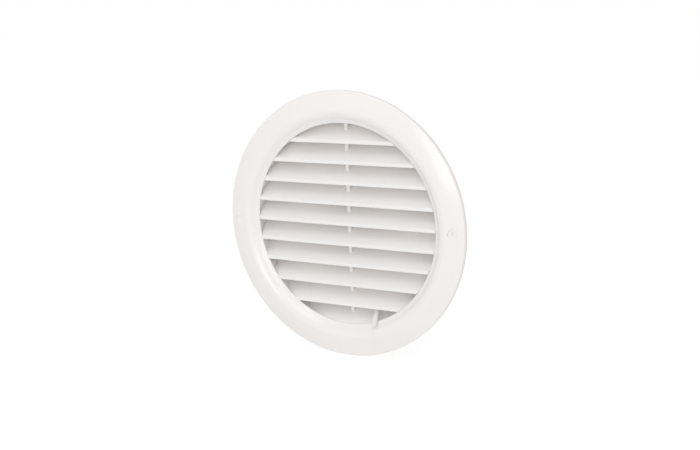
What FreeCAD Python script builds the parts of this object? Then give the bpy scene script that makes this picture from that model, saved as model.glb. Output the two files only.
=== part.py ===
# Round louvre vent cover with a rotary shutter, in millimetres.
# The collar and the louvres are one moulding, made as two solids that meet face to face.
# The bezel is a ring that sits on the collar's front end, with a lip over the louvres' ends.
# X runs right and Z up, seen from the room. Y runs into the duct.
# The origin is the centre of the flange's back face, on the wall.
import FreeCAD, Part
import math
import os

# Bezel: heights are in front of the wall, for the corners before they are rounded.
# Inside the crown, a steep flank runs down to a shallow cove and the cove to the lip.
flange_diameter = 130.0
rim_height = 2.6
rim_round = 0.7
crown_height = 4.7
crown_round = 4.5
flank_width = 2.6
cove_height = 2.2
cove_round = 3.0
lip_width = 1.85
lip_height = 0.95
lip_edge = 0.5
lip_overhang = 1.75
shell_wall = 1.9
rim_wall = 1.8
foot_wall = 1.6

# Collar that goes into the duct. The bezel's foot sits on a shoulder at its front end,
# and a tongue inside that shoulder stands in a groove of the bezel.
spigot_diameter = 105.0
spigot_wall = 1.5
spigot_length = 28.0
spigot_lead_in = 1.0
shoulder_width = 0.6
tongue_wall = 0.6
tongue_height = 1.2
tongue_clearance = 0.1

# Closed screw points in the bezel, thinned from behind so that a screw can be driven through.
screw_inset = 5.0
dish_diameter = 6.2
dish_depth = 0.3
dimple_diameter = 2.9
dimple_depth = 0.3
screw_skin = 0.7
screw_hole_diameter = 2.6
pillar_diameter = 6.6

# Louvres and the upright rib behind their noses.
louvre_count = 9
louvre_pitch = 10.0
louvre_slope = 38.5
louvre_nose = 1.8
louvre_front = 1.0
louvre_round = 0.3
louvre_clearance = 0.1
mould_parting = 0.2
rib_thickness = 1.7
rib_recess = 5.5

# Pivot: the boss on the rib is the journal for the shutter's hub.
boss_diameter = 8.0
boss_root = 1.8
hub_diameter = 15.0
journal_clearance = 0.05
axial_play = 0.35

# Shutter disc and its lever; angles on the disc are from straight down, positive to the right.
disc_gap = 1.2
disc_thickness = 1.6
disc_clearance = 0.6
window_count = 12
window_overlap = 1.0
window_inner_diameter = 38.0
window_margin = 3.3
lever_angle = 19.5
lever_width = 2.2
lever_thickness = 1.4
lever_reach = 6.0
lever_clearance = 0.65
lever_round = 0.4

# Fixed seat plate behind the disc.
seat_thickness = 1.8
seat_clearance = 0.1
seat_rim_wall = 1.8
seat_rim_depth = 4.0
key_width = 2.4
key_height = 0.8
key_length = 8.0
key_clearance = 0.15
stop_angle = 180.0
stop_radius = 13.0
stop_diameter = 2.5
stop_clearance = 0.3

# Screw that holds the plate and the disc on the boss.
pivot_shank_diameter = 2.4
pivot_hole_clearance = 0.4
pilot_clearance = 0.05
pilot_depth = 4.4
pilot_tip_gap = 0.4
pivot_head_diameter = 5.8
pivot_head_height = 1.9
pivot_head_edge = 0.8
driver_width = 0.8
driver_length = 3.2
driver_depth = 1.1

# Radii and depths that follow from the sizes above.
flange_radius = flange_diameter / 2
spigot_radius = spigot_diameter / 2
bore_radius = spigot_radius - spigot_wall
tongue_outer = spigot_radius - shoulder_width
tongue_inner = tongue_outer - tongue_wall
lip_radius = bore_radius - lip_overhang
lip_back = lip_height - lip_edge
cove_radius = lip_radius + lip_width
crown_radius = cove_radius + flank_width
face_width = flange_radius - crown_radius
face_rise = (crown_height - rim_height) / face_width
flank_rise = (crown_height - cove_height) / flank_width
screw_radius = flange_radius - screw_inset
louvre_rise = math.tan(math.radians(louvre_slope))
louvre_depth = (louvre_pitch - louvre_nose - mould_parting) / louvre_rise
louvre_back = louvre_depth - louvre_front
disc_front = louvre_back + disc_gap
disc_back = disc_front + disc_thickness
disc_radius = bore_radius - disc_clearance
seat_front = disc_back + axial_play
seat_back = seat_front + seat_thickness
window_pitch = 360.0 / window_count
window_angle = window_pitch / 2 - 2 * window_overlap
window_outer = disc_radius - window_margin
shutter_travel = window_pitch / 2

ORIGIN = FreeCAD.Vector(0, 0, 0)
DUCT_AXIS = FreeCAD.Vector(0, 1, 0)
CROSS_AXIS = FreeCAD.Vector(1, 0, 0)


def section_point(radius, y):
    """Point of a section that is turned about the duct's axis."""
    return FreeCAD.Vector(radius, y, 0)


def side_point(y, z):
    """Point of a section seen from the side."""
    return FreeCAD.Vector(0, y, z)


def polar(radius, angle, y):
    """Point at a radius and an angle from straight down, positive to the right."""
    turn = math.radians(angle)
    return FreeCAD.Vector(radius * math.sin(turn), y, -radius * math.cos(turn))


def rounded_face(corners, place):
    """Face inside (u, v, round) corners, each rounded by a tangent arc; place puts (u, v) in space."""
    spans = []
    for index, (u, v, size) in enumerate(corners):
        here = FreeCAD.Vector(u, v, 0)
        before = FreeCAD.Vector(*corners[index - 1][:2], 0).sub(here).normalize()
        after = FreeCAD.Vector(*corners[(index + 1) % len(corners)][:2], 0).sub(here).normalize()
        half = before.getAngle(after) / 2
        middle = here
        if size > 0:
            bisector = before.add(after).normalize()
            middle = here.add(bisector * (size / math.sin(half) - size))
        reach = size / math.tan(half)
        spans.append((here.add(before * reach), middle, here.add(after * reach)))
    edges = []
    for index, (start, middle, end) in enumerate(spans):
        last_end = spans[index - 1][2]
        a, b, c, d = (place(p.x, p.y) for p in (last_end, start, middle, end))
        edges.append(Part.LineSegment(a, b).toShape())
        if corners[index][2] > 0:
            edges.append(Part.Arc(b, c, d).toShape())
    return Part.Face(Part.Wire(edges))


def turned(corners):
    """Solid of revolution about the duct's axis from (radius, y, round) corners."""
    return rounded_face(corners, section_point).revolve(ORIGIN, DUCT_AXIS, 360)


def rod(diameter, start_y, end_y, x=0.0):
    """Cylinder along the duct's axis."""
    return Part.makeCylinder(diameter / 2, end_y - start_y, FreeCAD.Vector(x, start_y, 0), DUCT_AXIS)


def spun(shape, angle):
    """Copy of a shape moved round the duct's axis, positive to the right at the bottom."""
    copy = shape.copy()
    copy.rotate(ORIGIN, DUCT_AXIS, -angle)
    return copy


def sector(inner, outer, start, end, front, back):
    """Ring sector between two radii, two angles and two depths."""
    middle = (start + end) / 2
    corners = [polar(inner, start, front), polar(outer, start, front),
               polar(outer, end, front), polar(inner, end, front)]
    edges = [
        Part.LineSegment(corners[0], corners[1]).toShape(),
        Part.Arc(corners[1], polar(outer, middle, front), corners[2]).toShape(),
        Part.LineSegment(corners[2], corners[3]).toShape(),
        Part.Arc(corners[3], polar(inner, middle, front), corners[0]).toShape(),
    ]
    return Part.Face(Part.Wire(edges)).extrude(DUCT_AXIS * (back - front))


def windows(front, back):
    """The ring of sector windows, which the disc and the seat plate share."""
    centre = lever_angle + window_pitch / 2
    pane = sector(window_inner_diameter / 2, window_outer,
                  centre - window_angle / 2, centre + window_angle / 2, front, back)
    return Part.makeCompound([spun(pane, index * window_pitch) for index in range(window_count)])


def face_height(radius):
    """Height of the bezel's outer face."""
    return rim_height + (flange_radius - radius) * face_rise


def make_screw_point(side):
    """Pillar behind one screw point, and the dish, dimple and blind hole that are cut for it."""
    slope = math.atan(face_rise)
    outward = FreeCAD.Vector(side * math.sin(slope), -math.cos(slope), 0)
    height = face_height(screw_radius)
    mark = FreeCAD.Vector(side * screw_radius, -height, 0)
    dish = Part.makeCone(dish_diameter / 2 - dish_depth, dish_diameter / 2 + dish_depth,
                         2 * dish_depth, mark - outward * dish_depth, outward)
    dimple = Part.makeCone(dimple_diameter / 2 - dimple_depth, dimple_diameter / 2,
                           dimple_depth, mark - outward * (dish_depth + dimple_depth), outward)
    hole_depth = height - dish_depth - dimple_depth - screw_skin
    hole = rod(screw_hole_diameter, -hole_depth, 0, mark.x)
    shell_inside = height - shell_wall
    pillar = rod(pillar_diameter, -shell_inside - shell_wall / 4, 0, mark.x)
    return pillar, dish.fuse([dimple, hole])


def make_bezel():
    """Hollow-backed ring with a groove for the collar's tongue and two closed screw points."""
    face_drop = shell_wall * math.hypot(1, face_rise)
    groove_inner = tongue_inner - tongue_clearance
    groove_outer = tongue_outer + tongue_clearance
    groove_top = tongue_height + tongue_clearance
    shell_foot = groove_outer + foot_wall
    shell_rim = flange_radius - rim_wall
    shell_top = shell_foot + (face_height(shell_foot) - face_drop) / (face_rise + flank_rise)
    ring = turned([
        (lip_radius, -lip_back, 0),
        (groove_inner, -lip_back, 0),
        (groove_inner, -groove_top, 0),
        (groove_outer, -groove_top, 0),
        (groove_outer, 0, 0),
        (shell_foot, 0, 0),
        (shell_top, face_drop - face_height(shell_top), 0),
        (shell_rim, face_drop - face_height(shell_rim), 0),
        (shell_rim, 0, 0),
        (flange_radius, 0, 0),
        (flange_radius, -rim_height, rim_round),
        (crown_radius, -crown_height, crown_round),
        (cove_radius, -cove_height, cove_round),
        (lip_radius, -lip_height, 0),
    ])
    pillars, recesses = zip(*(make_screw_point(side) for side in (-1, 1)))
    return ring.fuse(pillars).cut(recesses).removeSplitter()


def make_collar():
    """Collar with the bezel's tongue and two keys that stop the seat plate from turning."""
    tube = turned([
        (bore_radius, spigot_length, 0),
        (spigot_radius - spigot_lead_in, spigot_length, 0),
        (spigot_radius, spigot_length - spigot_lead_in, 0),
        (spigot_radius, 0, 0),
        (tongue_outer, 0, 0),
        (tongue_outer, -tongue_height, 0),
        (tongue_inner, -tongue_height, 0),
        (tongue_inner, -lip_back, 0),
        (bore_radius, -lip_back, 0),
    ])
    keys = []
    for angle in (-90.0, 90.0):
        key = Part.makeBox(key_width, key_length, key_height + spigot_wall / 2,
                           FreeCAD.Vector(-key_width / 2, seat_front, -bore_radius - spigot_wall / 2))
        keys.append(spun(key, angle))
    return tube.fuse(keys).removeSplitter()


def make_louvres():
    """Sloping louvres across the bore; the lowest one starts behind the lip."""
    length = 2 * bore_radius
    louvres = []
    for index in range(louvre_count + 1):
        middle = ((louvre_count - 1) / 2 - index) * louvre_pitch
        front = louvre_front if index < louvre_count else lip_back
        front_middle = middle + (louvre_front - front) * louvre_rise
        back_middle = middle + louvre_depth * louvre_rise
        blade = rounded_face([
            (-front, front_middle - louvre_nose / 2, louvre_round),
            (-front, front_middle + louvre_nose / 2, louvre_round),
            (louvre_back, back_middle + louvre_nose / 2, 0),
            (louvre_back, back_middle - louvre_nose / 2, 0),
        ], side_point).extrude(CROSS_AXIS * length)
        blade.translate(CROSS_AXIS * (-length / 2))
        louvres.append(blade)
    return louvres


def make_rib():
    """Upright rib across the middle of the bore, behind the louvres' noses."""
    front = rib_recess - louvre_front
    corner = FreeCAD.Vector(-rib_thickness / 2, front, -bore_radius)
    return Part.makeBox(rib_thickness, louvre_back - front, 2 * bore_radius, corner)


def make_lattice():
    """Louvres, rib and pivot boss, which fill the bore and reach forward inside the lip."""
    nose_radius = lip_radius - louvre_clearance
    bounds = turned([
        (0, -louvre_front, 0),
        (nose_radius, -louvre_front, 0),
        (nose_radius, -lip_back, 0),
        (bore_radius, -lip_back, 0),
        (bore_radius, louvre_back, 0),
        (0, louvre_back, 0),
    ])
    boss = rod(boss_diameter, louvre_back - boss_root, seat_front)
    pilot = rod(pivot_shank_diameter + 2 * pilot_clearance, seat_front - pilot_depth, seat_front)
    bars = bounds.common(make_louvres() + [make_rib()])
    return bars.fuse(boss).cut(pilot).removeSplitter()


def make_lever():
    """Slanted bar from the disc, between the two lowest louvres, to the front of the bezel."""
    slope = math.radians(louvre_slope)
    under_at_wall = lip_radius - lip_height * louvre_rise - lever_clearance / math.cos(slope)
    top_at_wall = under_at_wall - lever_thickness / math.cos(slope)
    root = (disc_front + disc_back) / 2
    tip_top = (-lever_reach, top_at_wall + lever_reach * louvre_rise)
    tip_under = (tip_top[0] + lever_thickness * math.sin(slope),
                 tip_top[1] + lever_thickness * math.cos(slope))
    bar = rounded_face([
        (root, root * louvre_rise - top_at_wall, 0),
        (tip_top[0], -tip_top[1], lever_round),
        (tip_under[0], -tip_under[1], lever_round),
        (root, root * louvre_rise - under_at_wall, 0),
    ], side_point).extrude(CROSS_AXIS * lever_width)
    bar.translate(CROSS_AXIS * (-lever_width / 2))
    return spun(bar, lever_angle)


def make_stop_slot():
    """Arc slot in the disc for the seat plate's stop pin, as long as the shutter's travel."""
    width = stop_diameter + 2 * stop_clearance
    slack = math.degrees(stop_clearance / stop_radius)
    start = stop_angle
    end = stop_angle + shutter_travel
    slot = sector(stop_radius - width / 2, stop_radius + width / 2, start - slack, end + slack,
                  disc_front, disc_back)
    rounds = []
    for angle in (start, end):
        place = polar(stop_radius, angle, disc_front)
        rounds.append(Part.makeCylinder(width / 2, disc_thickness, place, DUCT_AXIS))
    return slot.fuse(rounds)


def make_shutter_disc():
    """Turning disc with its windows, hub and lever as one moulding."""
    disc = rod(2 * disc_radius, disc_front, disc_back)
    hub = rod(hub_diameter, louvre_back + axial_play, disc_back)
    bore = rod(boss_diameter + 2 * journal_clearance, louvre_back, seat_front)
    body = disc.cut([windows(disc_front, disc_back), make_stop_slot()])
    return body.fuse([hub, make_lever()]).cut(bore).removeSplitter()


def make_seat_plate():
    """Fixed plate with matching windows, a rim, key notches and the stop pin as one moulding."""
    radius = bore_radius - seat_clearance
    rim_back = seat_front + seat_rim_depth
    plate = turned([
        (0, seat_front, 0),
        (radius, seat_front, 0),
        (radius, rim_back, 0),
        (radius - seat_rim_wall, rim_back, 0),
        (radius - seat_rim_wall, seat_back, 0),
        (0, seat_back, 0),
    ])
    notch_width = key_width + 2 * key_clearance
    notch = Part.makeBox(notch_width, seat_rim_depth, key_height + key_clearance,
                         FreeCAD.Vector(-notch_width / 2, seat_front, -bore_radius))
    hole = rod(pivot_shank_diameter + pivot_hole_clearance, seat_front, seat_back)
    pin = Part.makeCylinder(stop_diameter / 2, seat_back - disc_front,
                            polar(stop_radius, stop_angle, disc_front), DUCT_AXIS)
    notches = [spun(notch, angle) for angle in (-90.0, 90.0)]
    cuts = [windows(seat_front, seat_back), hole] + notches
    return plate.cut(cuts).fuse(pin).removeSplitter()


def make_pivot_screw():
    """Pan-head screw with a cross recess, its thread left plain."""
    shank = pivot_shank_diameter / 2
    head = pivot_head_diameter / 2
    tip = seat_front - pilot_depth + pilot_tip_gap
    head_back = seat_back + pivot_head_height
    screw = turned([
        (0, tip, 0),
        (shank / 2, tip, 0),
        (shank, tip + shank, 0),
        (shank, seat_back, 0),
        (head, seat_back, 0),
        (head, head_back - pivot_head_edge, 0),
        (head - pivot_head_edge, head_back, 0),
        (0, head_back, 0),
    ])
    floor = head_back - driver_depth
    slots = []
    for across, along in ((driver_length, driver_width), (driver_width, driver_length)):
        corner = FreeCAD.Vector(-across / 2, floor, -along / 2)
        slots.append(Part.makeBox(across, driver_depth, along, corner))
    return screw.cut(slots).removeSplitter()


def main():
    """Build each piece and write it under its own name."""
    os.makedirs("parts", exist_ok=True)
    pieces = {
        "bezel": make_bezel(),
        "collar": make_collar(),
        "louvres": make_lattice(),
        "shutter_disc": make_shutter_disc(),
        "seat_plate": make_seat_plate(),
        "pivot_screw": make_pivot_screw(),
    }
    for name, shape in pieces.items():
        print(name, "solids", len(shape.Solids), "valid", shape.isValid(), "volume", round(shape.Volume, 1))
        shape.exportStep(f"parts/{name}.step")


main()
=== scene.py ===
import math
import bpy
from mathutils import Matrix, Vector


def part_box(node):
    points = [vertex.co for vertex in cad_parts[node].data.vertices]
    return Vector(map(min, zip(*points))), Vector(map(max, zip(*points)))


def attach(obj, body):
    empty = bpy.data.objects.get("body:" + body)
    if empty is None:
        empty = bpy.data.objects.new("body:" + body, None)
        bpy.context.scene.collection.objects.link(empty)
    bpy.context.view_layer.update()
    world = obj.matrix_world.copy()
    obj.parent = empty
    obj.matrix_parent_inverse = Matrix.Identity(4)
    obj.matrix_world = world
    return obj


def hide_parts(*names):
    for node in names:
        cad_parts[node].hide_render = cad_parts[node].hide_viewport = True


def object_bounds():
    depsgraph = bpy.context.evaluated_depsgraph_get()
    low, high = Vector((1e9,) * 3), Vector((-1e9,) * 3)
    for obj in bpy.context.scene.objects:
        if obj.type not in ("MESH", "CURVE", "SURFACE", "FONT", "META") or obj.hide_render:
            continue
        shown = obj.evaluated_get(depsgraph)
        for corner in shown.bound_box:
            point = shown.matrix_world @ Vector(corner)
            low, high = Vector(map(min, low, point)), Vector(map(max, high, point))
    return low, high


bl_info = {
    "name": "Round Vent Cover",
    "version": (1, 0, 0),
    "blender": (4, 5, 0),
    "location": "View3D > Sidebar > Vent",
    "description": "Round louvred vent cover with a rotary shutter, finishes and a plain studio",
    "category": "Object",
}

import bmesh
import bpy
from bpy.props import FloatProperty, FloatVectorProperty, IntProperty, PointerProperty
from mathutils import Matrix, Vector

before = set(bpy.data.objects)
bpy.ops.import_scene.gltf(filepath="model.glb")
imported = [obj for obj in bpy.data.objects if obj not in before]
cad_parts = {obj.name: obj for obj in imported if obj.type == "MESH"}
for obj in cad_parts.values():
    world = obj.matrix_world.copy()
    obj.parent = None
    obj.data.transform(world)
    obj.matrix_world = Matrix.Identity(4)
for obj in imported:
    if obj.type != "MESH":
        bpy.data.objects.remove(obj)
cad_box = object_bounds()
bezel_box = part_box("bezel")
collar_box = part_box("collar")
disc_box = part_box("shutter_disc")
seat_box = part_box("seat_plate")

DUCT_AXIS = Vector((0.0, 1.0, 0.0))

# Lengths in metres that keep the booleans clean: doubles closer than the first are merged,
# cutters reach past what they cut by the second, and joined shapes keep the third off flush faces.
MERGE_DISTANCE = 1e-7
OVERCUT = 0.001
FLUSH_GAP = 0.00003

# Steps round the turned shapes and the rods.
RING_STEPS = 288
DISC_STEPS = 192
SCREW_STEPS = 72
ROD_STEPS = 64
HOLE_STEPS = 48
PIN_STEPS = 40

# Angle of one step in a round, and the angles above which edges are bevelled or shaded sharp.
ROUND_STEP = math.radians(6)
BEVEL_ANGLE = math.radians(40)
SHARP_ANGLE = math.radians(26)

# Noise scales of the moulded skin: drift of tone, patches and specks of gloss, and grain.
DRIFT_SCALE = 38.0
PATCH_SCALE = 120.0
SPECK_SCALE = 1400.0
GRAIN_SCALE = 4200.0

# How far the stop pin stands in front of the seat plate, in millimetres.
STOP_LENGTH = 1.95

SENSOR_WIDTH = 36.0
NEAR_CLIP = 0.01
PLASTIC_IOR = 1.5
WHITE = (1.0, 1.0, 1.0, 1.0)


def size(name, description, millimetres):
    """Length that the user can change, given in millimetres and kept in metres."""
    return FloatProperty(name=name, description=description, default=millimetres / 1000, min=0.0,
                         precision=5, subtype="DISTANCE", unit="LENGTH")


def turn(name, description, degrees):
    """Angle that the user can change, given in degrees."""
    return FloatProperty(name=name, description=description, default=math.radians(degrees),
                         subtype="ANGLE", unit="ROTATION")


def share(name, description, value, highest=1.0):
    """Plain factor that the user can change."""
    return FloatProperty(name=name, description=description, default=value, min=0.0, max=highest,
                         subtype="FACTOR")


def tint(name, description, colour):
    """Colour that the user can change."""
    return FloatVectorProperty(name=name, description=description, default=colour, size=3,
                               min=0.0, max=1.0, subtype="COLOR")


def watts(name, description, power):
    """Lamp's power that the user can change."""
    return FloatProperty(name=name, description=description, default=power, min=0.0, unit="POWER")


def way(name, description, direction):
    """Direction, seen from the object, that the user can change."""
    return FloatVectorProperty(name=name, description=description, default=direction, size=3,
                               subtype="DIRECTION")


class VentBezelSizes(bpy.types.PropertyGroup):
    """Sizes of the bezel and its screw points."""

    flange_radius: size("Flange radius", "Outside radius of the bezel", bezel_box[1][0] * 1000)
    rim_height: size("Rim height", "Height of the bezel's edge in front of the wall", 2.6)
    rim_round: size("Rim round", "Round on the bezel's edge", 0.7)
    face_bulge: size("Face bulge", "How far the outer face stands out in its middle", 0.5)
    face_blend: share("Face blend", "Share of each half of the outer face that its bend takes",
                      0.55)
    crown_radius: size("Crown radius", "Radius of the highest ring of the bezel", 53.7)
    crown_height: size("Crown height", "Height of the crown before it is rounded", 4.7)
    crown_round: size("Crown round", "Round on the crown", 4.5)
    cove_radius: size("Cove radius", "Radius of the shallow cove under the crown", 51.1)
    cove_height: size("Cove height", "Height of the cove before it is rounded", 2.17)
    cove_round: size("Cove round", "Round in the cove", 3.0)
    lip_radius: size("Lip radius", "Radius of the opening", 49.25)
    lip_height: size("Lip height", "Height of the lip's front edge", 0.95)
    lip_back: size("Lip back", "Height of the lip's back face", 0.45)
    lip_round: size("Lip round", "Round on the lip's front edge", 0.8)
    groove_inner: size("Groove inside", "Inside radius of the collar tongue's groove", 51.2)
    groove_outer: size("Groove outside", "Outside radius of the collar tongue's groove", 52.0)
    groove_top: size("Groove top", "Height of the groove's bottom in front of the wall", 1.3)
    foot_radius: size("Foot radius", "Outside radius of the bezel's inner foot", 53.6)
    foot_round: size("Foot round", "Round on the edges that face the wall", 0.2)
    shell_wall: size("Shell wall", "Wall of the hollow bezel", 1.9)
    rim_wall: size("Rim wall", "Wall at the bezel's edge", 1.8)
    shell_round: size("Shell round", "Round inside the hollow bezel", 1.0)
    screw_radius: size("Screw point radius", "Distance of the screw points from the axis", 60.0)
    dish_radius: size("Dish radius", "Radius of the shallow dish at a screw point", 3.1)
    dish_depth: size("Dish depth", "Depth of the dish in its middle", 0.4)
    dimple_radius: size("Dimple radius", "Radius of the dimple in the dish", 1.45)
    dimple_depth: size("Dimple depth", "Depth of the dimple below the dish", 0.6)
    screw_skin: size("Screw skin", "Plastic left closed in front of the blind hole", 0.7)
    screw_hole: size("Screw hole", "Radius of the blind hole behind a screw point", 1.3)
    screw_pillar: size("Pillar", "Radius of the pillars behind the screw points", 3.3)
    pillar_root: share("Pillar root", "Share of the shell's wall in front of a pillar's end", 0.75)
    pillar_gap: size("Pillar gap", "How far the pillars end in front of the wall", 0.02)


class VentCoreSizes(bpy.types.PropertyGroup):
    """Sizes of the core: collar, louvres, rib, boss and keys."""

    collar_radius: size("Collar radius", "Outside radius of the collar in the duct",
                        collar_box[1][0] * 1000)
    collar_wall: size("Collar wall", "Wall of the collar", 1.5)
    collar_length: size("Collar length", "Length of the collar behind the wall's face", 24.7)
    collar_lead: size("Collar lead-in", "Chamfer on the collar's end", 1.0)
    collar_round: size("Collar round", "Round on the edges of the collar's two ends", 0.25)
    collar_front: size("Collar front", "Place of the collar's front edge before the wall", 0.45)
    shoulder_width: size("Shoulder width", "Width of the shoulder under the bezel's foot", 0.6)
    tongue_wall: size("Tongue wall", "Thickness of the tongue that holds the bezel", 0.6)
    tongue_height: size("Tongue height", "Place of the tongue's end in front of the wall",
                        -collar_box[0][1] * 1000)
    louvre_count: IntProperty(name="Louvres", description="Number of whole louvres", default=9,
                              min=1, max=30)
    louvre_pitch: size("Louvre pitch", "Distance from louvre to louvre", 10.0)
    louvre_slope: turn("Louvre slope", "Angle of the louvres to the duct's axis", 38.5)
    louvre_nose: size("Louvre nose", "Height of a louvre's front edge", 1.8)
    louvre_front: size("Louvre front", "Place of the front edges in front of the wall", 1.0)
    louvre_round: size("Louvre round", "Round on the louvres' edges", 0.3)
    louvre_back: size("Louvre back", "Place of the back edges behind the wall's face", 9.057)
    nose_radius: size("Nose radius", "Radius that the front edges end at, inside the lip", 49.15)
    rib_thickness: size("Rib thickness", "Thickness of the upright rib", 1.7)
    rib_front: size("Rib front", "Place of the rib's front edge behind the wall's face", 4.5)
    boss_radius: size("Boss radius", "Radius of the boss that the shutter turns on", 4.0)
    boss_root: size("Boss root", "How far the boss reaches into the rib", 1.8)
    boss_bore: size("Boss bore", "Radius of the pilot hole in the boss", 1.25)
    boss_bore_depth: size("Bore depth", "Depth of the pilot hole in the boss", 4.4)
    key_width: size("Key width", "Width of the two keys in the collar", 2.4)
    key_height: size("Key height", "How far the keys stand in from the collar", 0.8)
    key_length: size("Key length", "Length of the keys along the collar", 8.0)


class VentShutterSizes(bpy.types.PropertyGroup):
    """Sizes of the shutter disc, its lever, the seat plate and the pivot screw."""

    disc_front: size("Disc front", "Place of the disc's front face behind the wall's face", 10.257)
    disc_thickness: size("Disc thickness", "Thickness of the turning disc", 1.6)
    disc_radius: size("Disc radius", "Radius of the turning disc", disc_box[1][0] * 1000)
    disc_round: size("Disc round", "Round on the disc's rim", 0.3)
    hub_radius: size("Hub radius", "Radius of the disc's hub", 7.5)
    hub_bore: size("Hub bore", "Radius of the bore that turns on the boss", 4.05)
    hub_round: size("Hub round", "Round on the hub's edges", 0.2)
    hub_front: size("Hub front", "Place of the hub's front face behind the wall's face", 9.407)
    window_count: IntProperty(name="Windows", description="Number of windows", default=12,
                              min=3, max=36)
    window_angle: turn("Window angle", "Angle across one window", 13.0)
    window_inner: size("Window inside", "Inside radius of the windows", 19.0)
    window_outer: size("Window outside", "Outside radius of the windows", 47.1)
    window_round: size("Window round", "Round in the windows' corners", 1.2)
    lever_angle: turn("Lever angle", "Angle of the lever from straight down, positive to the right",
                      19.5)
    lever_slope: turn("Lever slope", "Angle of the lever to the duct's axis", 38.5)
    lever_width: size("Lever width", "Width of the lever", 2.4)
    lever_thickness: size("Lever thickness", "Thickness of the lever", 1.4)
    lever_under: size("Lever under side", "Radius of the lever's under side in the wall's plane",
                      47.664)
    lever_reach: size("Lever reach", "How far the lever's tip stands in front of the wall", 5.3)
    lever_round: size("Lever round", "Round on the lever's edges", 0.35)
    stop_radius: size("Stop radius", "Distance of the stop pin from the axis", 13.0)
    stop_diameter: size("Stop diameter", "Diameter of the stop pin", 2.5)
    stop_round: size("Stop round", "Round on the stop pin's end", 0.25)
    stop_clearance: size("Stop clearance", "Room round the stop pin in its slot", 0.3)
    slot_round: share("Slot round", "Round of the stop slot's ends, as a share of half its width",
                      0.45)
    travel: turn("Travel", "Angle that the shutter turns through", 15.0)
    seat_front: size("Seat front", "Place of the seat plate's front face behind the wall's face",
                     seat_box[0][1] * 1000 + STOP_LENGTH)
    seat_thickness: size("Seat thickness", "Thickness of the seat plate", 1.8)
    seat_radius: size("Seat radius", "Outside radius of the seat plate", 50.9)
    seat_clearance: size("Seat clearance", "Room between the seat plate and the collar", 0.1)
    seat_round: size("Seat round", "Round on the seat plate's edges", 0.3)
    seat_corner: size("Seat corner", "Round between the seat plate and its rim", 0.5)
    seat_rim_wall: size("Seat rim wall", "Wall of the seat plate's rim", 1.8)
    seat_rim_depth: size("Seat rim depth", "Depth of the seat plate's rim", 4.0)
    notch_width: size("Notch width", "Width of the notches for the collar's keys", 2.7)
    notch_depth: size("Notch depth", "Depth of the notches from the collar's bore", 0.95)
    screw_hole: size("Screw hole", "Diameter of the hole for the pivot screw", 2.8)
    shank_radius: size("Shank radius", "Radius of the pivot screw's shank", 1.2)
    shank_tip: size("Shank tip", "Place of the pivot screw's tip behind the wall's face", 8.207)
    head_radius: size("Head radius", "Radius of the pivot screw's head", 2.9)
    head_height: size("Head height", "Height of the pivot screw's head", 1.9)
    head_edge: size("Head edge", "Round on the under edge of the pivot screw's head", 0.1)
    head_round: size("Head round", "Round on the pivot screw's head", 0.9)
    driver_width: size("Driver width", "Width of the cross recess", 0.8)
    driver_length: size("Driver length", "Length of the cross recess", 3.2)
    driver_depth: size("Driver depth", "Depth of the cross recess", 1.1)


class VentFinishes(bpy.types.PropertyGroup):
    """Colours and gloss of the plastic and the steel."""

    white_plastic: tint("White plastic", "Colour of the bezel and the core", (0.94, 0.912, 0.892))
    # The shutter's own white, set a shade paler than the bezel's: this also paints extra light on
    # the lever, which looks brighter than the ring behind it.
    shutter_plastic: tint("Shutter plastic", "Colour of the disc, its lever and the seat plate",
                          (0.95, 0.925, 0.905))
    zinc_steel: tint("Zinc-plated steel", "Colour of the pivot screw", (0.62, 0.63, 0.65))
    plastic_gloss: share("Plastic roughness", "Roughness of the moulded plastic", 0.12)
    shutter_gloss: share("Shutter roughness", "Roughness of the shutter's plastic", 0.2)
    steel_gloss: share("Steel roughness", "Roughness of the zinc plating", 0.34)
    plastic_drift: share("Plastic drift", "Drift of the plastic's tone", 0.02)
    steel_drift: share("Steel drift", "Drift of the plating's tone", 0.25)
    plastic_spread: share("Plastic unevenness", "Unevenness of the plastic's gloss", 0.03)
    steel_spread: share("Steel unevenness", "Unevenness of the plating's gloss", 0.25)
    plastic_grain: share("Plastic grain", "Strength of the plastic's grain", 0.12)
    steel_grain: share("Steel grain", "Strength of the plating's grain", 0.3)
    grain_depth: size("Grain depth", "Depth of the surfaces' grain", 0.03)


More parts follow.
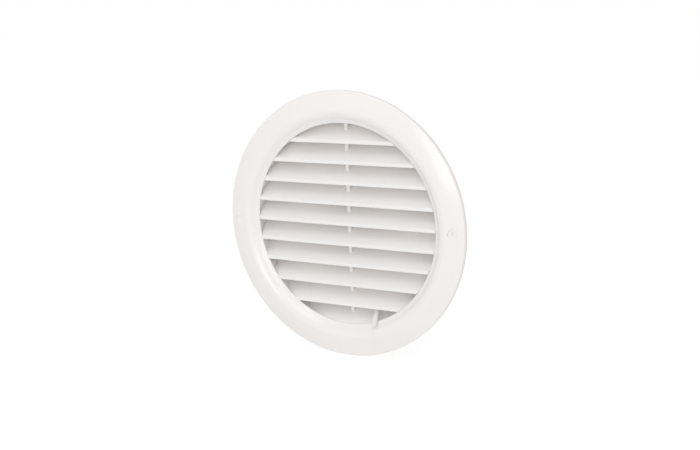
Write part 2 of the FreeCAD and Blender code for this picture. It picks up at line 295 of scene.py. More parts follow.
class VentStudio(bpy.types.PropertyGroup):
    """Camera, lamps and backdrop."""

    azimuth: turn("Azimuth", "Camera's angle to the right of the axis", 30.93)
    elevation: turn("Elevation", "Camera's angle above the axis", 11.73)
    roll: turn("Roll", "Camera's turn about its own line of sight", -2.25)
    distance: size("Distance", "Distance of the camera from the object", 555.9)
    slide_right: size("Slide right", "Sideways shift of the camera", 2.58)
    slide_down: size("Slide down", "Downward shift of the camera", 0.27)
    lens: FloatProperty(name="Lens", description="Focal length on a sensor 36 mm wide",
                        default=59.22, min=1.0, subtype="DISTANCE_CAMERA", unit="CAMERA")
    sky_level: share("Sky level", "Light from all round the object", 0.57, 4.0)
    key_power: watts("Key lamp", "Power of the large softbox beside the camera", 3.4)
    key_way: way("Key direction", "Direction of the key lamp", (0.30, -0.92, 0.26))
    key_distance: size("Key distance", "Distance of the key lamp", 1600.0)
    key_width: size("Key width", "Width of the key lamp", 900.0)
    key_height: size("Key height", "Height of the key lamp", 700.0)
    front_power: watts("Front lamp", "Power of the small softbox in front", 1.4)
    front_way: way("Front direction", "Direction of the front lamp", (0.006, -0.991, 0.129))
    front_distance: size("Front distance", "Distance of the front lamp", 1600.0)
    front_width: size("Front width", "Width of the front lamp", 360.0)
    front_height: size("Front height", "Height of the front lamp", 500.0)
    side_power: watts("Side lamp", "Power of the softbox at the right", 1.8)
    side_way: way("Side direction", "Direction of the side lamp", (0.85, -0.45, 0.2))
    side_distance: size("Side distance", "Distance of the side lamp", 1600.0)
    side_width: size("Side width", "Width of the side lamp", 1400.0)
    side_height: size("Side height", "Height of the side lamp", 600.0)
    top_power: watts("Top lamp", "Power of the softbox overhead", 3.7)
    top_way: way("Top direction", "Direction of the top lamp", (0.10, -0.55, 0.85))
    top_distance: size("Top distance", "Distance of the top lamp", 1400.0)
    top_width: size("Top width", "Width of the top lamp", 900.0)
    top_height: size("Top height", "Height of the top lamp", 900.0)
    floor_size: size("Floor size", "Distance from the floor's middle to its edges", 4000.0)
    floor_grey: share("Floor grey", "How pale the floor is where it keeps the shadow", 0.35)
    floor_glow: share("Floor glow", "Light that the floor adds to stay white", 0.8)
    floor_bounce: share("Floor bounce", "How pale the floor is as it lights the object", 0.9)


def duct_section(radius, y):
    """Point of a section that is turned about the duct's axis."""
    return Vector((radius, y, 0.0))


def side_section(y, z):
    """Point of a section seen from the side."""
    return Vector((0.0, y, z))


def polar(radius, angle, y):
    """Point at a radius and an angle from straight down, positive to the right."""
    return Vector((radius * math.sin(angle), y, -radius * math.cos(angle)))


def rounded_section(bm, corners, place):
    """Face inside (u, v, round) corners; each corner with a round is bevelled to an arc."""
    face = bm.faces.new([bm.verts.new(place(u, v)) for u, v, _ in corners])
    corner_verts = list(face.verts)
    for index, (u, v, radius) in enumerate(corners):
        if radius <= 0:
            continue
        here = Vector((u, v))
        before = Vector(corners[index - 1][:2]) - here
        after = Vector(corners[(index + 1) % len(corners)][:2]) - here
        half = before.angle(after) / 2
        steps = max(3, round((math.pi - 2 * half) / ROUND_STEP))
        bmesh.ops.bevel(bm, geom=[corner_verts[index]], affect="VERTICES",
                        offset=radius / math.tan(half), offset_type="OFFSET", segments=steps,
                        profile=0.5, material=-1)
    return bm.faces[:][0]


def tidy(bm):
    """Merge doubles and turn all faces outwards."""
    bmesh.ops.remove_doubles(bm, verts=bm.verts[:], dist=MERGE_DISTANCE)
    bmesh.ops.dissolve_degenerate(bm, edges=bm.edges[:], dist=MERGE_DISTANCE)
    bmesh.ops.recalc_face_normals(bm, faces=bm.faces[:])
    return bm


def turned(corners, steps):
    """Solid of revolution about the duct's axis from (radius, y, round) corners."""
    bm = bmesh.new()
    face = rounded_section(bm, corners, duct_section)
    bmesh.ops.delete(bm, geom=[face], context="FACES_ONLY")
    on_axis = [edge for edge in bm.edges if all(vert.co.x < MERGE_DISTANCE for vert in edge.verts)]
    bmesh.ops.delete(bm, geom=on_axis, context="EDGES")
    bmesh.ops.spin(bm, geom=bm.verts[:] + bm.edges[:], cent=(0, 0, 0), axis=DUCT_AXIS,
                   angle=2 * math.pi, steps=steps, use_merge=True)
    return tidy(bm)


def verts_of(geometry):
    """Vertices among what a bmesh operator returns."""
    return [item for item in geometry if isinstance(item, bmesh.types.BMVert)]


def prism(bm, corners, place, sweep):
    """Closed prism on a rounded section; returns its vertices."""
    single = bmesh.new()
    face = rounded_section(single, corners, place)
    raised = bmesh.ops.extrude_face_region(single, geom=[face])["geom"]
    bmesh.ops.translate(single, verts=verts_of(raised), vec=sweep)
    tidy(single)
    return take_in(bm, single)


def take_in(bm, other):
    """Move another bmesh's shape into this one; returns the new vertices."""
    first = len(bm.verts)
    mesh = bpy.data.meshes.new("shape")
    other.to_mesh(mesh)
    other.free()
    bm.from_mesh(mesh)
    bpy.data.meshes.remove(mesh)
    bm.verts.ensure_lookup_table()
    return bm.verts[first:]


def block(bm, low, high):
    """Box between two corners; returns its vertices."""
    low, high = Vector(low), Vector(high)
    place = Matrix.Translation((low + high) / 2) @ Matrix.Diagonal((high - low).to_4d())
    return bmesh.ops.create_cube(bm, size=1.0, matrix=place)["verts"]


def rod(bm, radius, start, end, at=(0.0, 0.0), steps=ROD_STEPS):
    """Cylinder along the duct's axis; returns its vertices."""
    middle = Matrix.Translation((at[0], (start + end) / 2, at[1]))
    place = middle @ Matrix.Rotation(-math.pi / 2, 4, "X")
    return bmesh.ops.create_cone(bm, cap_ends=True, segments=steps, radius1=radius, radius2=radius,
                                 depth=end - start, matrix=place)["verts"]


def spin_verts(bm, verts, angle):
    """Move vertices round the duct's axis, positive to the right at the bottom."""
    bmesh.ops.rotate(bm, verts=verts, cent=(0, 0, 0), matrix=Matrix.Rotation(-angle, 3, DUCT_AXIS))


def soften(bm, width, steps):
    """Bevel the sharp edges."""
    edges = [edge for edge in bm.edges if edge.is_manifold and edge.calc_face_angle() > BEVEL_ANGLE]
    bmesh.ops.bevel(bm, geom=edges, affect="EDGES", offset=width, offset_type="OFFSET",
                    segments=steps, profile=0.5, material=-1, clamp_overlap=True)


def as_object(name, bm):
    """Object at the origin that holds a bmesh's shape."""
    mesh = bpy.data.meshes.new(name)
    bm.to_mesh(mesh)
    bm.free()
    obj = bpy.data.objects.new(name, mesh)
    bpy.context.scene.collection.objects.link(obj)
    return obj


def combine(obj, operation, *shapes):
    """Join shapes to an object, cut them from it or keep what they share, applied to its mesh."""
    tools = [as_object("tool", shape) if isinstance(shape, bmesh.types.BMesh) else shape
             for shape in shapes]
    for tool in tools:
        step = obj.modifiers.new("combine", "BOOLEAN")
        step.operation = operation
        step.solver = "EXACT"
        step.object = tool
    bpy.context.view_layer.update()
    made = obj.evaluated_get(bpy.context.evaluated_depsgraph_get())
    result = bpy.data.meshes.new_from_object(made)
    obj.modifiers.clear()
    before = obj.data
    obj.data = result
    result.name = obj.name
    bpy.data.meshes.remove(before)
    for tool in tools:
        mesh = tool.data
        bpy.data.objects.remove(tool)
        bpy.data.meshes.remove(mesh)
    return obj


def finish_piece(obj, material, body, slot, *nodes):
    """Shade a piece between its sharp edges, finish it and put it in its CAD nodes' place."""
    bm = bmesh.new()
    bm.from_mesh(obj.data)
    bmesh.ops.remove_doubles(bm, verts=bm.verts[:], dist=2 * MERGE_DISTANCE)
    bmesh.ops.dissolve_degenerate(bm, edges=bm.edges[:], dist=MERGE_DISTANCE)
    bm.to_mesh(obj.data)
    bm.free()
    obj.data.shade_smooth()
    obj.data.set_sharp_from_angle(angle=SHARP_ANGLE)
    obj.data.materials.clear()
    obj.data.materials.append(material)
    normals = obj.modifiers.new("even shading", "WEIGHTED_NORMAL")
    normals.keep_sharp = True
    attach(obj, body)
    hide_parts(*nodes)


def arc_cutter(radii, start, angle, depths, corner, corner_steps, steps):
    """Sector between two radii and two depths, with rounded corners, that runs on to the right."""
    front, back = depths
    bm = bmesh.new()
    ends = [bm.verts.new(polar(radius, start, front)) for radius in radii]
    edge = bm.edges.new(ends)
    bmesh.ops.spin(bm, geom=ends + [edge], cent=(0, 0, 0), axis=DUCT_AXIS, angle=-angle,
                   steps=steps)
    corners = [vert for vert in bm.verts if len(vert.link_faces) == 1]
    bmesh.ops.bevel(bm, geom=corners, affect="VERTICES", offset=corner, offset_type="OFFSET",
                    segments=corner_steps, profile=0.5, material=-1)
    raised = bmesh.ops.extrude_face_region(bm, geom=bm.faces[:])["geom"]
    bmesh.ops.translate(bm, verts=verts_of(raised), vec=(0, back - front, 0))
    return tidy(bm)


def window_ring(s, depths):
    """All the rounded sector windows as one set of cutters."""
    start = s.lever_angle + math.pi / s.window_count - s.window_angle / 2
    bm = arc_cutter((s.window_inner, s.window_outer), start, s.window_angle, depths, s.window_round,
                    corner_steps=5, steps=16)
    pane = bm.verts[:] + bm.edges[:] + bm.faces[:]
    for index in range(1, s.window_count):
        copy = bmesh.ops.duplicate(bm, geom=pane)["geom"]
        spin_verts(bm, verts_of(copy), index * 2 * math.pi / s.window_count)
    return bm


def moulded_skin():
    """Node group: slow drift of tone, uneven gloss and the fine grain of a moulded surface."""
    name = "moulded skin"
    group = bpy.data.node_groups.get(name)
    if group:
        return group
    group = bpy.data.node_groups.new(name, "ShaderNodeTree")
    face = group.interface
    face.new_socket("Place", in_out="INPUT", socket_type="NodeSocketVector")
    face.new_socket("Colour", in_out="INPUT", socket_type="NodeSocketColor")
    face.new_socket("Drift", in_out="INPUT", socket_type="NodeSocketFloat")
    face.new_socket("Roughness", in_out="INPUT", socket_type="NodeSocketFloat")
    face.new_socket("Unevenness", in_out="INPUT", socket_type="NodeSocketFloat")
    face.new_socket("Colour", in_out="OUTPUT", socket_type="NodeSocketColor")
    face.new_socket("Roughness", in_out="OUTPUT", socket_type="NodeSocketFloat")
    face.new_socket("Grain", in_out="OUTPUT", socket_type="NodeSocketFloat")
    nodes, links = group.nodes, group.links
    inside = nodes.new("NodeGroupInput")
    outside = nodes.new("NodeGroupOutput")

    def noise(scale, detail):
        node = nodes.new("ShaderNodeTexNoise")
        node.inputs["Scale"].default_value = scale
        node.inputs["Detail"].default_value = detail
        links.new(inside.outputs["Place"], node.inputs["Vector"])
        return node.outputs["Fac"]

    def maths(operation, first, second):
        node = nodes.new("ShaderNodeMath")
        node.operation = operation
        for socket, value in zip(node.inputs, (first, second)):
            if isinstance(value, (int, float)):
                socket.default_value = value
            else:
                links.new(value, socket)
        return node.outputs[0]

    drift = maths("SUBTRACT", noise(DRIFT_SCALE, 2.0), 0.5)
    drift = maths("MULTIPLY", drift, inside.outputs["Drift"])
    tone = nodes.new("ShaderNodeHueSaturation")
    links.new(inside.outputs["Colour"], tone.inputs["Color"])
    links.new(maths("ADD", drift, 1.0), tone.inputs["Value"])
    links.new(tone.outputs["Color"], outside.inputs["Colour"])
    patch = maths("ADD", noise(PATCH_SCALE, 3.0), noise(SPECK_SCALE, 2.0))
    spread = maths("MULTIPLY", maths("SUBTRACT", patch, 1.0), inside.outputs["Unevenness"])
    links.new(maths("ADD", inside.outputs["Roughness"], spread), outside.inputs["Roughness"])
    links.new(noise(GRAIN_SCALE, 3.0), outside.inputs["Grain"])
    return group


def skinned(name, colour, roughness, drift, unevenness, grain, grain_depth):
    """Material on the moulded skin; pieces of one finish share it."""
    material = bpy.data.materials.get(name)
    if material:
        return material
    material = bpy.data.materials.new(name)
    material.use_nodes = True
    nodes, links = material.node_tree.nodes, material.node_tree.links
    shader = nodes["Principled BSDF"]
    shader.inputs["IOR"].default_value = PLASTIC_IOR
    place = nodes.new("ShaderNodeTexCoord")
    skin = nodes.new("ShaderNodeGroup")
    skin.node_tree = moulded_skin()
    skin.inputs["Colour"].default_value = (*colour, 1.0)
    skin.inputs["Drift"].default_value = drift
    skin.inputs["Roughness"].default_value = roughness
    skin.inputs["Unevenness"].default_value = unevenness
    bump = nodes.new("ShaderNodeBump")
    bump.inputs["Strength"].default_value = grain
    bump.inputs["Distance"].default_value = grain_depth
    links.new(place.outputs["Object"], skin.inputs["Place"])
    links.new(skin.outputs["Colour"], shader.inputs["Base Color"])
    links.new(skin.outputs["Roughness"], shader.inputs["Roughness"])
    links.new(skin.outputs["Grain"], bump.inputs["Height"])
    links.new(bump.outputs["Normal"], shader.inputs["Normal"])
    return material


def white_plastic(finish):
    """Glossy plastic of the bezel and the core."""
    return skinned("moulded white plastic", finish.white_plastic, finish.plastic_gloss,
                   finish.plastic_drift, finish.plastic_spread, finish.plastic_grain,
                   finish.grain_depth)


def shutter_plastic(finish):
    """Satin plastic of the disc, its lever and the seat plate; a shade paler than the bezel's,
    which paints extra light on the lever.
    """
    return skinned("moulded shutter plastic", finish.shutter_plastic, finish.shutter_gloss,
                   finish.plastic_drift, finish.plastic_spread, finish.plastic_grain,
                   finish.grain_depth)


def zinc_plating(finish):
    """Zinc-plated steel with a fine unevenness."""
    material = skinned("zinc plating", finish.zinc_steel, finish.steel_gloss, finish.steel_drift,
                       finish.steel_spread, finish.steel_grain, finish.grain_depth)
    material.node_tree.nodes["Principled BSDF"].inputs["Metallic"].default_value = 1.0
    return material


class VENT_OT_bezel(bpy.types.Operator):
    """Make the bezel: a hollow-backed ring with a lip and two closed screw points"""

    bl_idname = "vent.bezel"
    bl_label = "Bezel"

    def face_rise(self, b):
        """Slope of the outer face."""
        return (b.crown_height - b.rim_height) / (b.flange_radius - b.crown_radius)

    def face_height(self, b, radius):
        """Height of the outer face before it bulges."""
        return b.rim_height + (b.flange_radius - radius) * self.face_rise(b)

    def ring(self, b):
        """Hollow-backed ring with the groove for the collar's tongue."""
        face_rise = self.face_rise(b)
        face_width = b.flange_radius - b.crown_radius
        face_middle = b.crown_radius + face_width / 2
        bulge_rise = 2 * b.face_bulge / face_width
        bend = math.atan(face_rise + bulge_rise) - math.atan(face_rise - bulge_rise)
        face_round = b.face_blend * face_width / 2 / math.tan(bend / 2)
        flank_rise = (b.crown_height - b.cove_height) / (b.crown_radius - b.cove_radius)
        face_drop = b.shell_wall * math.hypot(1, face_rise)
        shell_rim = b.flange_radius - b.rim_wall
        inside = self.face_height(b, b.foot_radius) - face_drop
        shell_top = b.foot_radius + inside / (face_rise + flank_rise)
        return turned([
            (b.lip_radius, -b.lip_back, 0),
            (b.groove_inner, -b.lip_back, 0),
            (b.groove_inner, -b.groove_top, 0),
            (b.groove_outer, -b.groove_top, 0),
            (b.groove_outer, 0, 0),
            (b.foot_radius, 0, b.foot_round),
            (shell_top, face_drop - self.face_height(b, shell_top), b.shell_round),
            (shell_rim, face_drop - self.face_height(b, shell_rim), 0),
            (shell_rim, 0, b.foot_round),
            (b.flange_radius, 0, b.foot_round),
            (b.flange_radius, -b.rim_height, b.rim_round),
            (face_middle, -self.face_height(b, face_middle) - b.face_bulge, face_round),
            (b.crown_radius, -b.crown_height, b.crown_round),
            (b.cove_radius, -b.cove_height, b.cove_round),
            (b.lip_radius, -b.lip_height, b.lip_round),
        ], RING_STEPS)

    def screw_points(self, b):
        """Pillars, which join the ring, and the dishes, dimples and blind holes cut from it."""
        pillars, dishes, dimples, holes = (bmesh.new() for _ in range(4))
        face = self.face_height(b, b.screw_radius)
        height = face + b.face_bulge
        dimple_end = b.dish_depth + b.dimple_depth
        for side in (-1, 1):
            at = (side * b.screw_radius, 0.0)
            rod(pillars, b.screw_pillar, b.pillar_root * b.shell_wall - face, -b.pillar_gap, at)
            rod(holes, b.screw_hole, dimple_end + b.screw_skin - height, OVERCUT, at, HOLE_STEPS)
            rod(dishes, b.dish_radius, -2 * height, b.dish_depth - height, at)
            rod(dimples, b.dimple_radius, -2 * height, dimple_end - height, at)
        return pillars, dishes, dimples, holes

    def execute(self, context):
        scene = context.scene
        b, skin = scene.vent_bezel, white_plastic(scene.vent_finishes)
        bezel = as_object("bezel_ring", self.ring(b))
        pillars, *recesses = self.screw_points(b)
        combine(bezel, "UNION", pillars)
        combine(bezel, "DIFFERENCE", *recesses)
        finish_piece(bezel, skin, "housing", "white_plastic", "bezel")
        return {"FINISHED"}


class VENT_OT_core(bpy.types.Operator):
    """Make the core: collar, louvres, rib, boss and keys as one moulding"""

    bl_idname = "vent.core"
    bl_label = "Core"

    def collar(self, c):
        """Collar with the tongue that holds the bezel."""
        bore = c.collar_radius - c.collar_wall
        tongue_outer = c.collar_radius - c.shoulder_width
        tongue_inner = tongue_outer - c.tongue_wall
        return turned([
            (bore, c.collar_length, c.collar_round),
            (c.collar_radius - c.collar_lead, c.collar_length, c.collar_round),
            (c.collar_radius, c.collar_length - c.collar_lead, 0),
            (c.collar_radius, 0, 0),
            (tongue_outer, 0, 0),
            (tongue_outer, -c.tongue_height, c.collar_round),
            (tongue_inner, -c.tongue_height, c.collar_round),
            (tongue_inner, -c.collar_front, 0),
            (bore, -c.collar_front, 0),
        ], RING_STEPS)

    def lattice(self, c):
        """Louvres and rib, which end in the collar's wall and inside the lip.

        The lowest louvre starts behind the lip.
        """
        rise = math.tan(c.louvre_slope)
        bore = c.collar_radius - c.collar_wall
        length = 2 * c.collar_radius
        louvres = bmesh.new()
        for index in range(c.louvre_count + 1):
            middle = ((c.louvre_count - 1) / 2 - index) * c.louvre_pitch
            front = c.louvre_front if index < c.louvre_count else c.collar_front
            front_middle = middle + (c.louvre_front - front) * rise
            back_middle = middle + (c.louvre_front + c.louvre_back) * rise
            verts = prism(louvres, [
                (-front, front_middle - c.louvre_nose / 2, c.louvre_round),
                (-front, front_middle + c.louvre_nose / 2, c.louvre_round),
                (c.louvre_back, back_middle + c.louvre_nose / 2, c.louvre_round),
                (c.louvre_back, back_middle - c.louvre_nose / 2, c.louvre_round),
            ], side_section, (length, 0, 0))
            bmesh.ops.translate(louvres, verts=verts, vec=(-length / 2, 0, 0))
        rib = bmesh.new()
        half = c.rib_thickness / 2
        block(rib, (-half, c.rib_front, -c.collar_radius),
              (half, c.louvre_back - FLUSH_GAP, c.collar_radius))
        embed = bore + c.collar_wall / 4
        bounds = turned([
            (0, -2 * c.louvre_front, 0),
            (c.nose_radius, -2 * c.louvre_front, 0),
            (c.nose_radius, FLUSH_GAP - c.collar_front, 0),
            (embed, FLUSH_GAP - c.collar_front, 0),
            (embed, 2 * c.louvre_back, 0),
            (0, 2 * c.louvre_back, 0),
        ], RING_STEPS)
        lattice = combine(as_object("lattice", louvres), "UNION", rib)
        return combine(lattice, "INTERSECT", bounds)

    def fixings(self, c, seat_front):
        """Boss and keys, which join the core, and the pilot hole that is cut from it."""
        bore = c.collar_radius - c.collar_wall
        joined, pilot = bmesh.new(), bmesh.new()
        rod(joined, c.boss_radius, c.louvre_back - c.boss_root, seat_front)
        rod(pilot, c.boss_bore, seat_front - c.boss_bore_depth, seat_front + OVERCUT,
            steps=HOLE_STEPS)
        for side in (-1, 1):
            key = block(joined, (-c.key_width / 2, seat_front, -bore - c.collar_wall / 2),
                        (c.key_width / 2, seat_front + c.key_length, -bore + c.key_height))
            spin_verts(joined, key, side * math.pi / 2)
        return joined, pilot

    def execute(self, context):
        scene = context.scene
        c, skin = scene.vent_core, white_plastic(scene.vent_finishes)
        core = as_object("core_moulding", self.collar(c))
        joined, pilot = self.fixings(c, scene.vent_shutter.seat_front)
        combine(core, "UNION", self.lattice(c))
        combine(core, "UNION", joined)
        combine(core, "DIFFERENCE", pilot)
        finish_piece(core, skin, "housing", "white_plastic", "collar", "louvres")
        return {"FINISHED"}


class VENT_OT_shutter_disc(bpy.types.Operator):
    """Make the turning disc with its windows, hub, stop slot and lever"""

    bl_idname = "vent.shutter_disc"
    bl_label = "Shutter Disc"

    def lever(self, s):
        """Slanted bar from the disc to the front of the bezel."""
        slope = s.lever_slope
        rise = math.tan(slope)
        top = s.lever_under - s.lever_thickness / math.cos(slope)
        root = s.disc_front + s.disc_thickness / 2
        tip_top = (-s.lever_reach, top + s.lever_reach * rise)
        tip_under = (tip_top[0] + s.lever_thickness * math.sin(slope),
                     tip_top[1] + s.lever_thickness * math.cos(slope))
        bm = bmesh.new()
        verts = prism(bm, [
            (root, root * rise - top, 0),
            (tip_top[0], -tip_top[1], 0),
            (tip_under[0], -tip_under[1], 0),
            (root, root * rise - s.lever_under, 0),
        ], side_section, (s.lever_width, 0, 0))
        bmesh.ops.translate(bm, verts=verts, vec=(-s.lever_width / 2, 0, 0))
        soften(bm, s.lever_round, steps=4)
        spin_verts(bm, bm.verts[:], s.lever_angle)
        return bm

    def stop_slot(self, s, depths):
        """Arc slot for the stop pin, with round ends."""
        half = s.stop_diameter / 2 + s.stop_clearance
        slack = s.stop_clearance / s.stop_radius
        return arc_cutter((s.stop_radius - half, s.stop_radius + half), math.pi - slack,
                          s.travel + 2 * slack, depths, s.slot_round * half,
                          corner_steps=6, steps=12)

    def execute(self, context):
        scene = context.scene
        s, skin = scene.vent_shutter, shutter_plastic(scene.vent_finishes)
        back = s.disc_front + s.disc_thickness
        depths = (s.disc_front - OVERCUT, back + OVERCUT)
        disc = as_object("shutter_moulding", turned([
            (s.hub_bore, s.hub_front, s.hub_round),
            (s.hub_radius, s.hub_front, s.hub_round),
            (s.hub_radius, s.disc_front, 0),
            (s.disc_radius, s.disc_front, s.disc_round),
            (s.disc_radius, back, s.disc_round),
            (s.hub_bore, back, s.hub_round),
        ], DISC_STEPS))
        combine(disc, "DIFFERENCE", window_ring(s, depths), self.stop_slot(s, depths))
        combine(disc, "UNION", self.lever(s))
        finish_piece(disc, skin, "shutter", "shutter_plastic", "shutter_disc")
        return {"FINISHED"}


class VENT_OT_seat_plate(bpy.types.Operator):
    """Make the fixed plate with matching windows, a rim, key notches and the stop pin"""

    bl_idname = "vent.seat_plate"
    bl_label = "Seat Plate"

    def execute(self, context):
        scene = context.scene
        s, skin = scene.vent_shutter, shutter_plastic(scene.vent_finishes)
        back = s.seat_front + s.seat_thickness
        rim = s.seat_front + s.seat_rim_depth
        plate = as_object("seat_moulding", turned([
            (s.screw_hole / 2, s.seat_front, 0),
            (s.seat_radius, s.seat_front, s.seat_round),
            (s.seat_radius, rim, s.seat_round),
            (s.seat_radius - s.seat_rim_wall, rim, s.seat_round),
            (s.seat_radius - s.seat_rim_wall, back, s.seat_corner),
            (s.screw_hole / 2, back, 0),
        ], DISC_STEPS))
        notches = bmesh.new()
        notch_end = s.notch_depth - s.seat_radius - s.seat_clearance
        for side in (-1, 1):
            notch = block(notches,
                          (-s.notch_width / 2, s.seat_front - OVERCUT, -s.seat_radius - OVERCUT),
                          (s.notch_width / 2, rim + OVERCUT, notch_end))
            spin_verts(notches, notch, side * math.pi / 2)
        windows = window_ring(s, (s.seat_front - OVERCUT, back + OVERCUT))
        combine(plate, "DIFFERENCE", windows, notches)
        pin = bmesh.new()
        place = polar(s.stop_radius, math.pi, 0)
        rod(pin, s.stop_diameter / 2, s.disc_front, back - s.seat_thickness / 2,
            (place.x, place.z), PIN_STEPS)
        soften(pin, s.stop_round, steps=3)
        combine(plate, "UNION", pin)
        finish_piece(plate, skin, "housing", "shutter_plastic", "seat_plate")
        return {"FINISHED"}


class VENT_OT_pivot_screw(bpy.types.Operator):
    """Make the pan-head screw that holds the plate and the disc on the boss"""

    bl_idname = "vent.pivot_screw"
    bl_label = "Pivot Screw"

    def execute(self, context):
        scene = context.scene
        s, skin = scene.vent_shutter, zinc_plating(scene.vent_finishes)
        seat = s.seat_front + s.seat_thickness
        top = seat + s.head_height
        screw = as_object("pivot_screw_steel", turned([
            (0, s.shank_tip, 0),
            (s.shank_radius / 2, s.shank_tip, 0),
            (s.shank_radius, s.shank_tip + s.shank_radius, 0),
            (s.shank_radius, seat, 0),
            (s.head_radius, seat, s.head_edge),
            (s.head_radius, top, s.head_round),
            (0, top, 0),
        ], SCREW_STEPS))
        arm, width = s.driver_length, s.driver_width
        for across, along in ((arm, width), (width, arm)):
            slot = bmesh.new()
            block(slot, (-across / 2, top - s.driver_depth, -along / 2),
                  (across / 2, top + OVERCUT, along / 2))
            combine(screw, "DIFFERENCE", slot)
        finish_piece(screw, skin, "housing", "zinc_steel", "pivot_screw")
        return {"FINISHED"}


def looked_at(nodes, links):
    """Socket that is 1 for what the camera sees, directly, mirrored or through glass."""
    ray = nodes.new("ShaderNodeLightPath")
    seen = ray.outputs["Is Camera Ray"]
    for kind in ("Is Glossy Ray", "Is Transmission Ray"):
        either = nodes.new("ShaderNodeMath")
        either.operation = "MAXIMUM"
        links.new(seen, either.inputs[0])
        links.new(ray.outputs[kind], either.inputs[1])
        seen = either.outputs[0]
    return seen


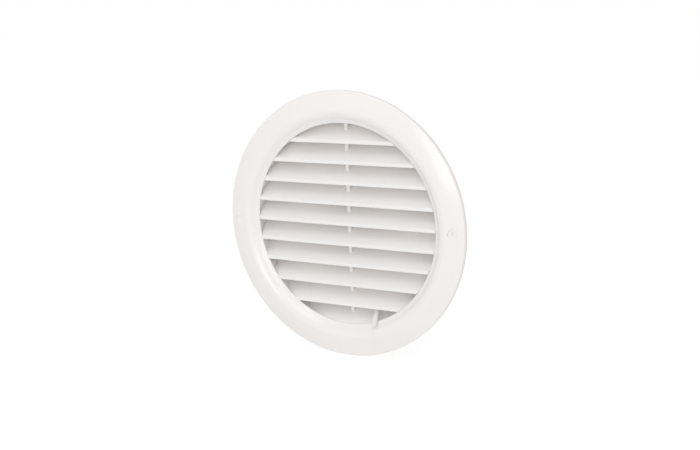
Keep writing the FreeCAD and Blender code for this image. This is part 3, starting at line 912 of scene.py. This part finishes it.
class VENT_OT_stage(bpy.types.Operator):
    """Set the floor, the soft lamps, the white surroundings and the camera"""

    bl_idname = "vent.stage"
    bl_label = "Stage"

    def floor(self, studio, height):
        """Pale floor that stays white to the camera and keeps a faint shadow."""
        bm = bmesh.new()
        bmesh.ops.create_grid(bm, x_segments=1, y_segments=1, size=studio.floor_size,
                              matrix=Matrix.Translation((0, 0, height)))
        obj = as_object("floor", bm)
        material = bpy.data.materials.new("floor_white")
        material.use_nodes = True
        nodes, links = material.node_tree.nodes, material.node_tree.links
        nodes.clear()
        out = nodes.new("ShaderNodeOutputMaterial")
        matt = nodes.new("ShaderNodeBsdfDiffuse")
        matt.inputs["Color"].default_value = (*[studio.floor_grey] * 3, 1.0)
        glow = nodes.new("ShaderNodeEmission")
        glow.inputs["Strength"].default_value = studio.floor_glow
        both = nodes.new("ShaderNodeAddShader")
        bounce = nodes.new("ShaderNodeBsdfDiffuse")
        bounce.inputs["Color"].default_value = (*[studio.floor_bounce] * 3, 1.0)
        seen = nodes.new("ShaderNodeMixShader")
        links.new(matt.outputs[0], both.inputs[0])
        links.new(glow.outputs[0], both.inputs[1])
        links.new(looked_at(nodes, links), seen.inputs[0])
        links.new(bounce.outputs[0], seen.inputs[1])
        links.new(both.outputs[0], seen.inputs[2])
        links.new(seen.outputs[0], out.inputs["Surface"])
        obj.data.materials.append(material)

    def surroundings(self, scene, level):
        """White to the camera, in reflections and through glass; even light for the rest."""
        world = bpy.data.worlds.new("white_room")
        scene.world = world
        world.use_nodes = True
        nodes, links = world.node_tree.nodes, world.node_tree.links
        nodes.clear()
        out = nodes.new("ShaderNodeOutputWorld")
        light = nodes.new("ShaderNodeBackground")
        light.inputs["Strength"].default_value = level
        white = nodes.new("ShaderNodeBackground")
        white.inputs["Strength"].default_value = 1.0
        for node in (light, white):
            node.inputs["Color"].default_value = WHITE
        seen = nodes.new("ShaderNodeMixShader")
        links.new(looked_at(nodes, links), seen.inputs[0])
        links.new(light.outputs[0], seen.inputs[1])
        links.new(white.outputs[0], seen.inputs[2])
        links.new(seen.outputs[0], out.inputs["Surface"])

    def softbox(self, studio, side):
        """Area lamp that faces the object from one side."""
        name = side + "_softbox"
        lamp = bpy.data.lights.new(name, "AREA")
        lamp.shape = "RECTANGLE"
        lamp.size = getattr(studio, side + "_width")
        lamp.size_y = getattr(studio, side + "_height")
        lamp.energy = getattr(studio, side + "_power")
        obj = bpy.data.objects.new(name, lamp)
        towards = Vector(getattr(studio, side + "_way")).normalized()
        obj.location = towards * getattr(studio, side + "_distance")
        obj.rotation_euler = towards.to_track_quat("Z", "Y").to_euler()
        obj.visible_camera = False
        bpy.context.scene.collection.objects.link(obj)

    def camera(self, scene, studio):
        """Camera at the photograph's place and angle."""
        az, el, roll = studio.azimuth, studio.elevation, studio.roll
        back = Vector((math.sin(az) * math.cos(el), -math.cos(az) * math.cos(el), math.sin(el)))
        flat = Vector((math.cos(az), math.sin(az), 0.0))
        rise = back.cross(flat)
        right = math.cos(roll) * flat + math.sin(roll) * rise
        up = math.cos(roll) * rise - math.sin(roll) * flat
        lens = bpy.data.cameras.new("photo_camera")
        lens.sensor_fit = "HORIZONTAL"
        lens.sensor_width = SENSOR_WIDTH
        lens.lens = studio.lens
        lens.clip_start = NEAR_CLIP
        obj = bpy.data.objects.new("photo_camera", lens)
        scene.collection.objects.link(obj)
        place = studio.distance * back + studio.slide_right * right - studio.slide_down * up
        axes = Matrix((right, up, back)).transposed().to_4x4()
        obj.matrix_world = Matrix.Translation(place) @ axes
        scene.camera = obj

    def execute(self, context):
        scene = context.scene
        studio = scene.vent_studio
        self.floor(studio, cad_box[0][2])
        self.surroundings(scene, studio.sky_level)
        for side in ("key", "front", "side", "top"):
            self.softbox(studio, side)
        self.camera(scene, studio)
        scene.view_settings.view_transform = "Standard"
        return {"FINISHED"}


class VENT_PT_cover(bpy.types.Panel):
    """Vent cover's pieces, sizes and studio"""

    bl_idname = "VENT_PT_cover"
    bl_label = "Round Vent Cover"
    bl_space_type = "VIEW_3D"
    bl_region_type = "UI"
    bl_category = "Vent"

    def draw(self, context):
        layout = self.layout
        column = layout.column(align=True)
        for piece in PIECES:
            column.operator(piece.bl_idname)
        for group, kind in GROUPS.items():
            box = layout.box()
            box.label(text=group.removeprefix("vent_").title())
            settings = getattr(context.scene, group)
            for name in kind.__annotations__:
                box.prop(settings, name)


PIECES = (VENT_OT_bezel, VENT_OT_core, VENT_OT_shutter_disc, VENT_OT_seat_plate,
          VENT_OT_pivot_screw, VENT_OT_stage)
GROUPS = {
    "vent_bezel": VentBezelSizes,
    "vent_core": VentCoreSizes,
    "vent_shutter": VentShutterSizes,
    "vent_finishes": VentFinishes,
    "vent_studio": VentStudio,
}


def register():
    for group in GROUPS.values():
        bpy.utils.register_class(group)
    for name, group in GROUPS.items():
        setattr(bpy.types.Scene, name, PointerProperty(type=group))
    for piece in PIECES:
        bpy.utils.register_class(piece)
    bpy.utils.register_class(VENT_PT_cover)


def unregister():
    bpy.utils.unregister_class(VENT_PT_cover)
    for piece in reversed(PIECES):
        bpy.utils.unregister_class(piece)
    for name, group in reversed(GROUPS.items()):
        delattr(bpy.types.Scene, name)
        bpy.utils.unregister_class(group)


def main():
    register()
    bpy.ops.vent.bezel()
    bpy.ops.vent.core()
    bpy.ops.vent.shutter_disc()
    bpy.ops.vent.seat_plate()
    bpy.ops.vent.pivot_screw()
    bpy.ops.vent.stage()
    bpy.context.view_layer.update()


if __name__ == "__main__":
    main()
